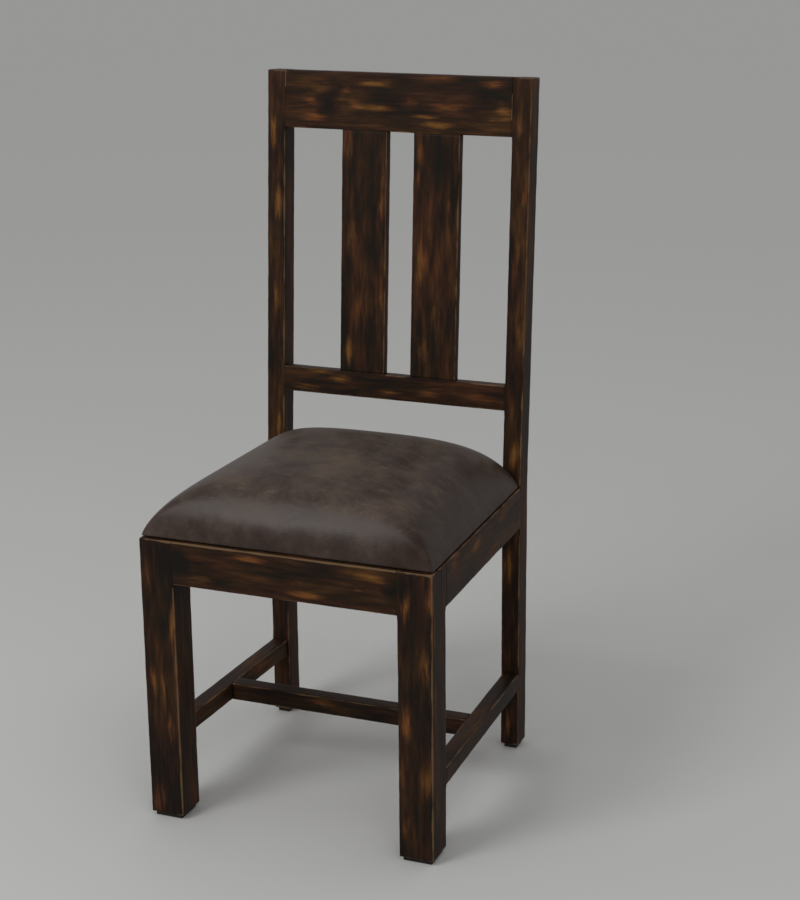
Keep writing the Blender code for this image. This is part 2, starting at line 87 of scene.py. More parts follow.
def fromPhoto(pixel, planePoint, planeNormal):
    # where the line of sight through a pixel meets a face of the chair
    right, up, back = cameraAxes()
    focal = view["lens"] / view["sensor"] * view["frameHeight"]
    across = pixel[0] - view["frameWidth"] / 2
    down = pixel[1] - view["frameHeight"] / 2
    sight = right * across - up * down - back * focal
    start = Vector(view["target"]) + back * view["distance"]
    normal = Vector(planeNormal)
    return start + sight * ((Vector(planePoint) - start).dot(normal) / sight.dot(normal))


addCamera()


# studio
studio = {
    "floorColour": (0.52, 0.52, 0.51, 1),
    "floorSize": 200,
    "floorRoughness": 0.8,
    "worldColour": (0.92, 0.92, 0.92, 1),
    "worldStrength": 0.60,
    "keyEnergy": 50,
    "keySize": 1.5,
    "keyPlace": (-1.38, -2.60, 2.80),
    "fillEnergy": 11,
    "fillSize": 1.1,
    "fillPlace": (1.56, -2.10, 3.20),
    "aim": (0, 0, 0.45),
}


def newMaterial(name):
    material = bpy.data.materials.new(name)
    material.use_nodes = True
    return material, material.node_tree, material.node_tree.nodes["Principled BSDF"]


def plainMaterial(name, colour, roughness):
    material, _, shader = newMaterial(name)
    shader.inputs["Base Color"].default_value = colour
    shader.inputs["Roughness"].default_value = roughness
    return material


def addLamp(name, energy, size, place, aim):
    lamp = bpy.data.lights.new(name, "AREA")
    lamp.shape = "DISK"
    lamp.energy = energy
    lamp.size = size
    lampObject = bpy.data.objects.new(name, lamp)
    lampObject.location = place
    lampObject.rotation_euler = (Vector(aim) - Vector(place)).to_track_quat("-Z", "Y").to_euler()
    bpy.context.scene.collection.objects.link(lampObject)


def addStudio():
    bpy.ops.object.select_all(action="DESELECT")
    bpy.ops.mesh.primitive_plane_add(size=studio["floorSize"])
    floor = bpy.context.object
    floor.name = "floor"
    paint = plainMaterial("floorPaint", studio["floorColour"], studio["floorRoughness"])
    floor.data.materials.append(paint)
    world = bpy.context.scene.world or bpy.data.worlds.new("studio")
    bpy.context.scene.world = world
    world.use_nodes = True
    background = world.node_tree.nodes["Background"]
    background.inputs["Color"].default_value = studio["worldColour"]
    background.inputs["Strength"].default_value = studio["worldStrength"]
    addLamp("key", studio["keyEnergy"], studio["keySize"], studio["keyPlace"], studio["aim"])
    addLamp("fill", studio["fillEnergy"], studio["fillSize"], studio["fillPlace"], studio["aim"])
    bpy.context.scene.view_settings.view_transform = "Standard"


addStudio()
print("camera and studio ready")


# places on the chair, read from the frame
legLow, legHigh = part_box("front_leg_left")
postLow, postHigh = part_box("rear_post_left")
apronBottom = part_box("front_apron")[0][2]
rearApronLow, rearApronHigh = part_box("rear_apron")
stretcherLow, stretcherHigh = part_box("side_stretcher_left")
crossLow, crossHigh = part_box("cross_stretcher")
slatBoxes = {side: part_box("back_slat_" + side) for side in ("left", "right")}

back = {
    "leanHeight": 0.444,  # the posts lean back above this
    "lean": 0.042,
    "crestHeight": 0.088,
    "crestThickness": 0.025,
    "railTop": 0.598,
    "railHeight": 0.040,
    "railThickness": 0.021,
    "slatThickness": 0.016,
    "postDepth": 0.037,
    "stretcherWidth": 0.026,
    "sideThickness": 0.022,
    "apronReach": 0.004,  # the rear apron comes this far under the cushion
}
totalHeight = postHigh[2]
leanAngle = math.atan2(back["lean"], totalHeight - back["leanHeight"])
leanLength = math.hypot(back["lean"], totalHeight - back["leanHeight"])
legFront, legBack = legLow[1], legHigh[1]
postFront = postLow[1]
postBack = postFront + back["postDepth"]
frontHalf, rearHalf = -legLow[0], -postLow[0]
legInner, postInner = -legHigh[0], -postHigh[0]
sideSlope = (rearHalf - frontHalf) / (postFront - legBack)
seatTop = legHigh[2]
woodBottom = legLow[2]
sides = {"left": -1, "right": 1}


def upTheBack(height):
    return (height - back["leanHeight"]) / math.cos(leanAngle)


# wood
wood = {
    "cell": 0.0065,  # size of the mesh's faces
    "arrisRound": 0.0016,
    "arrisReach": 0.0065,  # how far wear shows from an edge
    "arrisWear": 0.0009,
    "arrisLevel": 0.85,  # of the knocks, so that they mostly go inwards
    "waviness": 0.0004,
    "jointReach": 0.0025,
    "flush": 0.0001,  # bars that share less than this along an axis only touch there
    "onFace": 0.00001,
    "sharpAngle": 0.7,  # radians, between the two faces of an arris
    "bendFrom": 0.001,  # above the hinge
    # how strongly the long edges in front show their pale worn lines, on the right and on the left; the right
    # ones are made stronger as a painted highlight
    "legEdgeWearAndHighlight": (1.14, 0.85),
    "postEdgeWearAndHighlight": (1.05, 0.8),
    "slatEdgeWearAndHighlight": (1.05, 0.75),
    "legTop": 1.10,
    "apronTop": 1.22,
    "crestTop": 0.8,
}


def selectEdges(piece, wanted):
    bpy.ops.mesh.select_mode(type="EDGE")
    bpy.ops.mesh.select_all(action="DESELECT")
    shape = bmesh.from_edit_mesh(piece.data)
    for edge in shape.edges:
        edge.select_set(wanted(edge))
    bmesh.update_edit_mesh(piece.data)


def runsAlong(edge, axis):
    run = edge.verts[1].co - edge.verts[0].co
    return abs(run[axis]) > 0.99 * run.length


def isArris(edge):
    return len(edge.link_faces) == 2 and edge.calc_face_angle() > wood["sharpAngle"]


def sawBar(name, low, high, grain, freeEnds=False, joints=(), worn=(), openJoints=()):
    # a squared bar cut into an even grid, its long edges rounded, and its end edges too where they are free
    low, high = Vector(low), Vector(high)
    bpy.ops.object.select_all(action="DESELECT")
    bpy.ops.mesh.primitive_cube_add(size=1, location=(low + high) / 2, scale=high - low)
    bar = bpy.context.object
    bar.name = bar.data.name = name
    bpy.ops.object.transform_apply(location=True, rotation=True, scale=True)
    bpy.ops.object.mode_set(mode="EDIT")
    for axis in range(3):
        cuts = max(1, round((high - low)[axis] / wood["cell"]) - 1)
        selectEdges(bar, lambda edge: runsAlong(edge, axis))
        bpy.ops.mesh.subdivide(number_cuts=cuts)
    selectEdges(bar, lambda edge: isArris(edge) and (freeEnds or runsAlong(edge, grain)))
    bpy.ops.mesh.bevel(offset=wood["arrisRound"], segments=2, affect="EDGES")
    bpy.ops.object.mode_set(mode="OBJECT")
    markArrises(bar, low, high, grain, freeEnds, joints, worn, openJoints)
    return bar


def within(place, box, margin):
    return all(box[0][a] - margin < place[a] < box[1][a] + margin for a in range(3))


def shared(low, high, joint, axis):
    return min(high[axis], joint[1][axis]) - max(low[axis], joint[0][axis])


def markArrises(bar, low, high, grain, freeEnds, joints, worn, openJoints):
    # 1 on an edge of the bar, falling to 0 at a short distance from it
    # where another bar is joined flush the edge is squared again and keeps its paint
    group = bar.vertex_groups.new(name="arris")
    sections = [a for a in range(3) if freeEnds or a != grain]
    edgeWearAndHighlight, squared = [], set()
    for vert in bar.data.vertices:
        depths = [min(vert.co[a] - low[a], high[a] - vert.co[a]) for a in range(3)]
        nearness = max(0.0, 1 - max(0.0, sorted(depths[a] for a in sections)[1]) / wood["arrisReach"])
        if not freeEnds and depths[grain] < wood["onFace"]:
            squared.add(vert.index)
        for joint in joints:
            if within(vert.co, joint, wood["jointReach"]):
                touching = [a for a in range(3) if shared(low, high, joint, a) < wood["flush"]]
                exposed = sorted(depths[a] for a in sections if a not in touching)
                nearness = max(0.0, 1 - exposed[1] / wood["arrisReach"]) if len(exposed) > 1 else 0.0
                rounded = [a for a in range(3) if wood["onFace"] < depths[a] < wood["arrisRound"] * 0.95]
                if len(rounded) > 1 and set(rounded) & set(touching):
                    if len(rounded) == 2:
                        squared.add(vert.index)
                    for a in (rounded if len(rounded) == 2 else touching):
                        vert.co[a] = low[a] if vert.co[a] - low[a] < high[a] - vert.co[a] else high[a]
        group.add([vert.index], min(1.0, nearness), "REPLACE")
        # the gains make some edge lines stronger or weaker; on the right front edges the extra strength is a
        # painted highlight
        for box, gain in worn:
            if within(vert.co, box, wood["jointReach"]):
                nearness *= gain
        if any(within(vert.co, box, wood["flush"]) for box in openJoints):
            nearness = 1.0  # the finish has cracked along this joint
        edgeWearAndHighlight.append(nearness)
    creases = [1.0 if all(end in squared for end in edge.vertices) else 0.0 for edge in bar.data.edges]
    bar.data.attributes.new("edgeWearAndHighlight", "FLOAT", "POINT").data.foreach_set("value", edgeWearAndHighlight)
    bar.data.attributes.new("crease_edge", "FLOAT", "EDGE").data.foreach_set("value", creases)


def cloudTexture(name, size):
    texture = bpy.data.textures.new(name, "CLOUDS")
    texture.noise_scale = size
    texture.noise_depth = 2
    return texture


planeMarks = cloudTexture("planeMarks", 0.11)
knocks = cloudTexture("knocks", 0.022)


def applyModifiers(piece):
    bpy.ops.object.select_all(action="DESELECT")
    piece.select_set(True)
    bpy.context.view_layer.objects.active = piece
    for modifier in list(piece.modifiers):
        bpy.ops.object.modifier_apply(modifier=modifier.name)


def ageBar(bar):
    smooth = bar.modifiers.new("smooth", "SUBSURF")
    smooth.levels = smooth.render_levels = 1
    wavy = bar.modifiers.new("wavy", "DISPLACE")
    wavy.texture = planeMarks
    wavy.strength = wood["waviness"]
    wavy.mid_level = 0.5
    worn = bar.modifiers.new("worn", "DISPLACE")
    worn.texture = knocks
    worn.vertex_group = "arris"
    worn.strength = wood["arrisWear"]
    worn.mid_level = wood["arrisLevel"]
    applyModifiers(bar)
    bpy.ops.object.shade_smooth()


def leanBack(bar):
    # from upright to the plane of the leaning posts
    hinge = Vector((0, postFront, back["leanHeight"]))
    bar.data.transform(Matrix.Translation(hinge) @ Matrix.Rotation(-leanAngle, 4, "X"))


def followSide(bar, side):
    for vert in bar.data.vertices:
        vert.co.x += side * sideSlope * (vert.co.y - legBack)


def bendPost(bar):
    hinge = Vector((0, postFront, back["leanHeight"]))
    turn = Matrix.Translation(hinge) @ Matrix.Rotation(-leanAngle, 4, "X") @ Matrix.Translation(-hinge)
    for vert in bar.data.vertices:
        if vert.co.z > back["leanHeight"] + wood["bendFrom"]:
            vert.co = turn @ vert.co


# worn finish
finish = {
    "goldRub": (
        (0.00, (0.0100, 0.0088, 0.0062, 1)), (0.14, (0.0165, 0.0098, 0.0060, 1)),
        (0.32, (0.0290, 0.0140, 0.0068, 1)), (0.50, (0.0480, 0.0225, 0.0088, 1)),
        (0.72, (0.0860, 0.0365, 0.0112, 1)), (1.00, (0.1480, 0.0640, 0.0160, 1)),
    ),
    "redRub": (
        (0.00, (0.0105, 0.0072, 0.0056, 1)), (0.14, (0.0170, 0.0092, 0.0062, 1)),
        (0.32, (0.0290, 0.0128, 0.0072, 1)), (0.50, (0.0500, 0.0200, 0.0090, 1)),
        (0.72, (0.0860, 0.0300, 0.0105, 1)), (1.00, (0.1350, 0.0500, 0.0160, 1)),
    ),
    "edgeTan": (0.205, 0.122, 0.060, 1),
    "gloss": 0.07,
    "swayAlong": 0.030,
    "swayAcross": 0.007,
    # each pattern's waves per metre, along the grain and across it
    "fine": (22, 430),
    "streaks": (18, 150),
    "broad": (6, 34),
    "smears": (15, 70),
    "tones": (9, 28),
    "sway": (22, 75),
    "breaks": (26, 60),
    # how strongly each shows, and from where
    "fineDepth": 0.22,
    "thinDepth": 1.15,
    "thinFrom": -0.87,
    "patchDepth": 0.55,
    "patchEdge": 0.16,
    "streakDepth": 3.3,
    "streakFrom": -0.75,
    "lineBreaks": 0.7,
    "lineEdge": (0.74, 0.98),
    "lineDepth": 0.55,
    "warmEdge": (0.38, 0.62),
    "roughness": 0.38,
    "roughGrain": 0.2,
    "roughRubbed": 0.12,
    "relief": (0.4, 0.0005),  # strength and depth
}


def put(tree, kind, inputs=None, **settings):
    made = tree.nodes.new(kind)
    for key, value in settings.items():
        setattr(made, key, value)
    for key, value in (inputs or {}).items():
        if isinstance(value, bpy.types.NodeSocket):
            tree.links.new(value, made.inputs[key])
        else:
            made.inputs[key].default_value = value
    return made


def maths(tree, operation, *values):
    return put(tree, "ShaderNodeMath", dict(enumerate(values)), operation=operation).outputs[0]


def scaled(tree, value, factor, shift=0.0):
    return maths(tree, "MULTIPLY_ADD", value, factor, shift)


def colours(tree, factor, stops):
    made = put(tree, "ShaderNodeValToRGB", {"Fac": factor})
    ramp = made.color_ramp
    while len(ramp.elements) < len(stops):
        ramp.elements.new(0.5)
    for element, (position, colour) in zip(ramp.elements, stops):
        element.position = position
        element.color = colour
    return made.outputs["Color"]


def between(tree, value, low, high):
    made = put(tree, "ShaderNodeMapRange", {"Value": value, "From Min": low, "From Max": high},
               interpolation_type="SMOOTHSTEP")
    return made.outputs["Result"]


def blend(tree, factor, first, second):
    made = put(tree, "ShaderNodeMix", {"Factor": factor}, data_type="RGBA")
    for socket, value in ((made.inputs[6], first), (made.inputs[7], second)):
        if isinstance(value, bpy.types.NodeSocket):
            tree.links.new(value, socket)
        else:
            socket.default_value = value
    return made.outputs[2]


def noise(tree, place, waves, detail, roughness=0.5):
    made = put(tree, "ShaderNodeTexNoise", {
        "Vector": place, "Scale": waves, "Detail": detail, "Roughness": roughness})
    return made.outputs[0]


def cells(tree, place, waves):
    return put(tree, "ShaderNodeTexVoronoi", {"Vector": place, "Scale": waves}).outputs["Distance"]


def addRelief(tree, shader, height, strength, depth):
    bump = put(tree, "ShaderNodeBump", {"Height": height, "Strength": strength, "Distance": depth})
    tree.links.new(bump.outputs[0], shader.inputs["Normal"])


def grainNoise(tree, place, grain, waves, offset, detail=3.0, roughness=0.55):
    # noise drawn out along the grain
    along, across = waves
    scale = [across] * 3
    scale[grain] = along
    placed = put(tree, "ShaderNodeMapping", {"Vector": place, "Scale": scale, "Location": offset})
    return put(tree, "ShaderNodeTexNoise", {
        "Vector": placed.outputs[0], "Scale": 1.0, "Detail": detail, "Roughness": roughness})


def softSpot(tree, place, centre, radii):
    # 1 at the centre, falling to 0 at the radii
    centred = put(tree, "ShaderNodeMapping", {
        "Vector": place, "Location": centre, "Scale": radii}, vector_type="TEXTURE")
    glow = put(tree, "ShaderNodeTexGradient", {"Vector": centred.outputs[0]}, gradient_type="SPHERICAL")
    return glow.outputs["Fac"]


def wornWood(name, grain, seed, rubs=(), scatter=0.66, tone=0.0):
    material, tree, shader = newMaterial(name)
    shader.inputs["Specular IOR Level"].default_value = finish["gloss"]
    place = put(tree, "ShaderNodeTexCoord").outputs["Object"]
    offset = (seed * 1.37, seed * 2.11, seed * 0.73)
    elsewhere = (seed * 0.57 + 4, seed * 1.19 + 8, seed * 1.91 + 3)

    fine = grainNoise(tree, place, grain, finish["fine"], offset).outputs[0]
    streaks = grainNoise(tree, place, grain, finish["streaks"], offset, detail=4, roughness=0.6).outputs[0]
    broad = grainNoise(tree, place, grain, finish["broad"], offset, detail=2).outputs[0]
    smears = grainNoise(tree, place, grain, finish["smears"], elsewhere, detail=4, roughness=0.6).outputs[0]
    tones = grainNoise(tree, place, grain, finish["tones"], elsewhere, detail=1).outputs[0]

    # the placed patches, with wandering outlines
    reach = [finish["swayAcross"]] * 3
    reach[grain] = finish["swayAlong"]
    sway = grainNoise(tree, place, grain, finish["sway"], elsewhere, detail=3).outputs["Color"]
    moved = put(tree, "ShaderNodeVectorMath", {0: place, 1: [r / 2 for r in reach]}, operation="SUBTRACT")
    swayed = put(tree, "ShaderNodeVectorMath", {0: sway, 1: reach, 2: moved.outputs[0]},
                 operation="MULTIPLY_ADD")
    total, tint = 0.0, 0.0
    for spot, radii, weight, warmth in rubs:
        glow = softSpot(tree, swayed.outputs[0], spot, radii)
        total = maths(tree, "MULTIPLY_ADD", glow, weight, total)
        tint = maths(tree, "MULTIPLY_ADD", glow, warmth, tint)

    # how far the dark coat is rubbed away, from 0 to 1
    thin = scaled(tree, maths(tree, "ADD", streaks, broad), finish["thinDepth"], finish["thinFrom"] + tone)
    scattered = between(tree, smears, scatter, scatter + finish["patchEdge"])
    patches = scaled(tree, scattered, finish["patchDepth"])
    shown = maths(tree, "MULTIPLY", maths(tree, "ADD", total, patches),
                  scaled(tree, streaks, finish["streakDepth"], finish["streakFrom"]))
    grained = scaled(tree, fine, finish["fineDepth"], -finish["fineDepth"] / 2)
    rubbed = maths(tree, "ADD", grained, maths(tree, "ADD", thin, shown))
    warmer = between(tree, maths(tree, "ADD", tones, tint), *finish["warmEdge"])
    surface = blend(tree, warmer, colours(tree, rubbed, finish["redRub"]),
                    colours(tree, rubbed, finish["goldRub"]))

    # pale lines where the edges have worn through, made stronger on the right front edges as a painted
    # highlight
    worn = put(tree, "ShaderNodeAttribute", attribute_name="edgeWearAndHighlight").outputs["Fac"]
    breaks = grainNoise(tree, place, grain, finish["breaks"], offset, detail=2).outputs[0]
    broken = scaled(tree, breaks, finish["lineBreaks"], -finish["lineBreaks"] / 2)
    line = between(tree, maths(tree, "ADD", broken, worn), *finish["lineEdge"])
    surface = blend(tree, scaled(tree, line, finish["lineDepth"]), surface, finish["edgeTan"])
    tree.links.new(surface, shader.inputs["Base Color"])

    dull = maths(tree, "MULTIPLY_ADD", rubbed, finish["roughRubbed"],
                 scaled(tree, fine, finish["roughGrain"], finish["roughness"]))
    tree.links.new(dull, shader.inputs["Roughness"])
    relief = maths(tree, "MULTIPLY_ADD", shown, -0.4, maths(tree, "MULTIPLY_ADD", broad, 0.5, fine))
    addRelief(tree, shader, relief, *finish["relief"])
    return material


def dress(piece, material, slot, *replaced):
    piece.data.materials.clear()
    piece.data.materials.append(material)
    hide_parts(*replaced)
    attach(piece, "root")


# places of the rubbed patches in the photograph: pixel, half length in mm, relative width, strength, warmth
frontOfLeg = ((0, legFront, 0), (0, 1, 0))
frontOfBack = ((0, postFront, back["leanHeight"]), (0, math.cos(leanAngle), -math.sin(leanAngle)))
crestRubs = [
    ((322, 87), 26, 6, 0.7, 0.05), ((308, 97), 14, 8, 0.4, -0.1), ((328, 104), 26, 15, -0.6, 0.0),
    ((313, 117), 28, 6, 0.55, -0.1), ((344, 90), 12, 7, 0.5, -0.2), ((378, 84), 36, 4, 0.95, 0.2),
    ((378, 108), 38, 4, 0.85, 0.1), ((378, 95), 34, 8, -0.3, 0.0), ((356, 105), 14, 6, 0.5, -0.3),
    ((438, 125), 32, 5, 0.8, -0.05), ((430, 118), 34, 4, 0.7, 0.1), ((450, 107), 34, 5, 0.5, 0.2),
    ((408, 102), 20, 6, 0.5, -0.3), ((440, 78), 50, 4, 0.5, -0.3), ((496, 85), 30, 6, 0.8, -0.5),
    ((503, 112), 14, 12, 0.55, 0.3), ((497, 120), 22, 3, 0.5, 0.3), ((485, 100), 30, 12, -0.3, 0.0),
]
slatRubs = {
    "left": [((348, 150), 34, 8, 0.5, 0.1), ((384, 180), 60, 5, 0.5, 0.1), ((381, 211), 22, 5, 0.7, 0.1),
             ((349, 352), 26, 8, 0.9, 0.3), ((352, 240), 40, 7, 0.5, 0.2), ((372, 250), 50, 9, -0.3, 0.0),
             ((379, 300), 44, 8, 0.4, 0.1), ((360, 320), 40, 8, 0.4, -0.1)],
    "right": [((421, 155), 24, 5, 0.5, -0.1), ((418, 180), 18, 5, 0.45, -0.2), ((449, 208), 16, 4, 0.6, -0.4),
              ((440, 165), 50, 10, -0.3, 0.0), ((420, 260), 50, 6, 0.5, 0.2), ((436, 320), 60, 7, 0.4, 0.2),
              ((420, 350), 30, 8, 0.5, 0.2)],
}
lowerRailRubs = [((341, 379), 24, 6, 0.8, 0.1), ((304, 387), 28, 5, 0.7, 0.2), ((387, 392), 28, 5, 0.7, 0.1),
                 ((320, 371), 30, 4, 0.5, 0.1), ((430, 392), 26, 6, 0.5, 0.1), ((480, 398), 26, 5, 0.5, -0.2)]
apronRubs = [((249, 560), 32, 5, 0.85, 0.05), ((197, 579), 30, 5, 0.9, 0.2), ((306, 595), 32, 5, 0.7, 0.0),
             ((370, 579), 34, 5, 0.75, 0.1), ((320, 565), 44, 9, -0.35, 0.0), ((176, 562), 22, 13, -0.5, 0.0),
             ((394, 592), 20, 14, -0.5, 0.0), ((222, 585), 30, 6, -0.25, 0.0), ((281, 578), 30, 8, -0.3, 0.0)]
postRubs = {
    "left": [((273, 126), 22, 5, 0.7, 0.3), ((274, 142), 18, 5, 0.5, 0.0), ((279, 202), 34, 6, 0.8, 0.4),
             ((279, 425), 22, 6, 0.7, 0.1), ((276, 300), 40, 6, 0.5, 0.2)],
    "right": [((519, 126), 22, 7, 0.6, 0.3), ((524, 200), 16, 4, 0.6, -0.4), ((514, 454), 28, 6, 0.8, 0.4),
              ((520, 330), 44, 6, 0.5, 0.2), ((516, 260), 40, 5, 0.4, 0.0)],
}
postFootRubs = {"left": [((293, 623), 40, 6, 0.6, 0.1)],
                "right": [((509, 560), 46, 6, 0.7, 0.2), ((509, 722), 34, 6, 0.6, 0.1)]}
legRubs = {
    "left": [((147, 580), 34, 6, 0.6, 0.1), ((172, 622), 44, 5, 0.7, 0.0), ((154, 679), 32, 7, 0.75, -0.05),
             ((171, 730), 36, 5, 0.75, 0.0), ((160, 797), 26, 8, 0.7, -0.05), ((160, 620), 50, 8, -0.25, 0.0),
             ((166, 560), 34, 7, -0.5, 0.0), ((165, 690), 40, 6, 0.4, 0.1)],
    "right": [((405, 607), 34, 6, 0.9, 0.2), ((429, 604), 26, 5, 0.7, 0.0), ((425, 668), 34, 6, 0.6, -0.05),
              ((407, 722), 40, 7, 0.75, 0.0), ((402, 775), 28, 7, 0.5, 0.0), ((426, 787), 34, 8, 0.6, 0.1),
              ((407, 833), 28, 6, 0.6, 0.1), ((416, 630), 60, 7, -0.25, 0.0), ((400, 588), 26, 6, -0.5, 0.0)],
}
legSideRubs = [((435, 640), 44, 3, 0.7, 0.1), ((436, 705), 34, 3, 0.6, 0.0), ((438, 770), 30, 4, 0.5, 0.0),
               ((440, 578), 34, 8, -0.5, 0.0)]
rub = {
    "lengthUnit": 0.0010,
    "brightWidth": 0.00145,
    "darkWidth": 0.0019,  # a negative strength paints over
    "depth": 0.012,
}


def placeRubs(spots, face, grain):
    placed = []
    through = 0 if abs(face[1][0]) > 0.9 else 1  # the axis that runs through the face
    for pixel, halfLength, halfWidth, weight, warmth in spots:
        radii = [halfWidth * rub["brightWidth" if weight > 0 else "darkWidth"]] * 3
        radii[grain] = halfLength * rub["lengthUnit"]
        radii[through] = rub["depth"]
        placed.append((fromPhoto(pixel, *face), radii, weight, warmth))
    return placed


# where the bars are joined, and which edges are worn most, with a painted highlight on the right front edges
crestBottom = leanLength - back["crestHeight"]
railTop = upTheBack(back["railTop"])
railBottom = railTop - back["railHeight"]
hingeHeight = back["leanHeight"]
joined = {
    "frontApron": ((-legInner, legFront, apronBottom),
                   (legInner, legFront + back["sideThickness"], seatTop)),
    "rearApron": ((-postInner, postFront, apronBottom), (postInner, rearApronHigh[1], seatTop)),
    "crest": ((-postInner, postFront, hingeHeight + crestBottom),
              (postInner, postFront + back["crestThickness"], hingeHeight + leanLength)),
    "lowerRail": ((-postInner, postFront, hingeHeight + railBottom),
                  (postInner, postFront + back["railThickness"], hingeHeight + railTop)),
}
for name, side in sides.items():
    for label, bottom, top, width in (
            ("Apron", apronBottom, seatTop, back["sideThickness"]),
            ("Stretcher", stretcherLow[2], stretcherHigh[2], back["stretcherWidth"])):
        spans = sorted((side * rearHalf, side * (frontHalf - width)))
        joined[name + label] = ((min(spans[0], side * frontHalf), legBack, bottom),
                                (max(spans[1], side * frontHalf), postFront, top))
    slatLow, slatHigh = slatBoxes[name]
    joined[name + "Slat"] = ((slatLow[0], 0, railTop), (slatHigh[0], back["slatThickness"], crestBottom))


def arrisBox(low, high, sideways, frontwards):
    # the region round the long edge of an upright bar, on its right or left and front or back
    x = high[0] if sideways > 0 else low[0]
    y = high[1] if frontwards > 0 else low[1]
    reach = wood["arrisReach"]
    return (x - reach, y - reach, low[2]), (x + reach, y + reach, high[2])


def frontEdges(low, high, gains):
    return [(arrisBox(low, high, 1, -1), gains[0]), (arrisBox(low, high, -1, -1), gains[1])]


# legs and posts
for number, (name, side) in enumerate(sides.items()):
    low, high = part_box("front_leg_" + name)
    topFront = ((low[0], legFront, seatTop - 0.002), (high[0], legFront + 0.003, seatTop))
    spots = placeRubs(legRubs[name], frontOfLeg, 2)
    if side > 0:
        spots += placeRubs(legSideRubs, ((frontHalf, 0, 0), (1, 0, 0)), 2)
    leg = sawBar("frontLeg." + name, low, high, 2, freeEnds=True,
                 joints=[joined[j] for j in ("frontApron", name + "Apron", name + "Stretcher")],
                 worn=frontEdges(low, high, wood["legEdgeWearAndHighlight"]) + [(topFront, wood["legTop"])])
    ageBar(leg)
    # tone -0.05 paints the legs darker, as shade where less light reaches them low down
    dress(leg, wornWood("legFinish." + name, 2, 3 + number, spots, tone=-0.05),
          "worn_paint_wood", "front_leg_" + name)

for number, (name, side) in enumerate(sides.items()):
    low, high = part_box("rear_post_" + name)
    low, high = (low[0], postFront, woodBottom), (high[0], postBack, hingeHeight + leanLength)
    post = sawBar("rearPost." + name, low, high, 2, freeEnds=True,
                  joints=[joined[j] for j in ("rearApron", "crest", "lowerRail",
                                              name + "Apron", name + "Stretcher")],
                  worn=frontEdges(low, high, wood["postEdgeWearAndHighlight"]))
    ageBar(post)
    bendPost(post)
    spots = placeRubs(postRubs[name], frontOfBack, 2)
    spots += placeRubs(postFootRubs[name], ((0, postFront, 0), (0, 1, 0)), 2)
    dress(post, wornWood("postFinish." + name, 2, 8 + number, spots),
          "worn_paint_wood", "rear_post_" + name)
print("legs and posts done")


# back: crest rail, lower rail and slats
def backRail(name, node, bottom, top, thickness, material, worn=(), openJoints=()):
    rail = sawBar(name, (-postInner, 0, bottom), (postInner, thickness, top), 0,
                  joints=[joined["leftSlat"], joined["rightSlat"]], worn=worn, openJoints=openJoints)
    ageBar(rail)
    leanBack(rail)
    dress(rail, material, "worn_paint_wood", node)


topOfCrest = ((-1, -1, leanLength - 0.006), (1, 1, 2))
# the finish has cracked along the crest rail's ends
crackedJoints = [((-postInner, 0, leanLength - 0.028), (-postInner, 0, leanLength)),
                 ((postInner, 0, leanLength - 0.066), (postInner, 0, leanLength - 0.024))]
backRail("crestRail", "crest_rail", crestBottom, leanLength, back["crestThickness"],
         wornWood("crestFinish", 0, 12, placeRubs(crestRubs, frontOfBack, 0)),
         worn=[(topOfCrest, wood["crestTop"])], openJoints=crackedJoints)
backRail("lowerBackRail", "lower_back_rail", railBottom, railTop, back["railThickness"],
         wornWood("lowerRailFinish", 0, 13, placeRubs(lowerRailRubs, frontOfBack, 0)))
for number, name in enumerate(sides):
    low, high = slatBoxes[name]
    low, high = (low[0], 0, railTop), (high[0], back["slatThickness"], crestBottom)
    slat = sawBar("backSlat." + name, low, high, 2, worn=frontEdges(low, high, wood["slatEdgeWearAndHighlight"]))
    ageBar(slat)
    leanBack(slat)
    spots = placeRubs(slatRubs[name], frontOfBack, 2)
    dress(slat, wornWood("slatFinish." + name, 2, 15 + number, spots, scatter=0.70),
          "worn_paint_wood", "back_slat_" + name)
print("back done")


# seat frame
topOfApron = ((-1, legFront, seatTop - 0.002), (1, legFront + 0.003, seatTop))
frontApron = sawBar("frontApron", (-legInner, legFront, apronBottom),
                    (legInner, legFront + back["sideThickness"], seatTop), 0,
                    worn=[(topOfApron, wood["apronTop"])])
ageBar(frontApron)
dress(frontApron, wornWood("frontApronFinish", 0, 20, placeRubs(apronRubs, frontOfLeg, 0)),
      "worn_paint_wood", "front_apron")
rearApron = sawBar("rearApron", (-postInner, rearApronLow[1] - back["apronReach"], apronBottom),
                   (postInner, rearApronHigh[1], seatTop), 0)
ageBar(rearApron)
dress(rearApron, wornWood("rearApronFinish", 0, 21), "worn_paint_wood", "rear_apron")


def sideBar(name, node, side, bottom, top, width, material):
    outer, inner = side * frontHalf, side * (frontHalf - width)
    bar = sawBar(name, (min(outer, inner), legBack, bottom), (max(outer, inner), postFront, top), 1)
    ageBar(bar)
    followSide(bar, side)
    dress(bar, material, "worn_paint_wood", node)


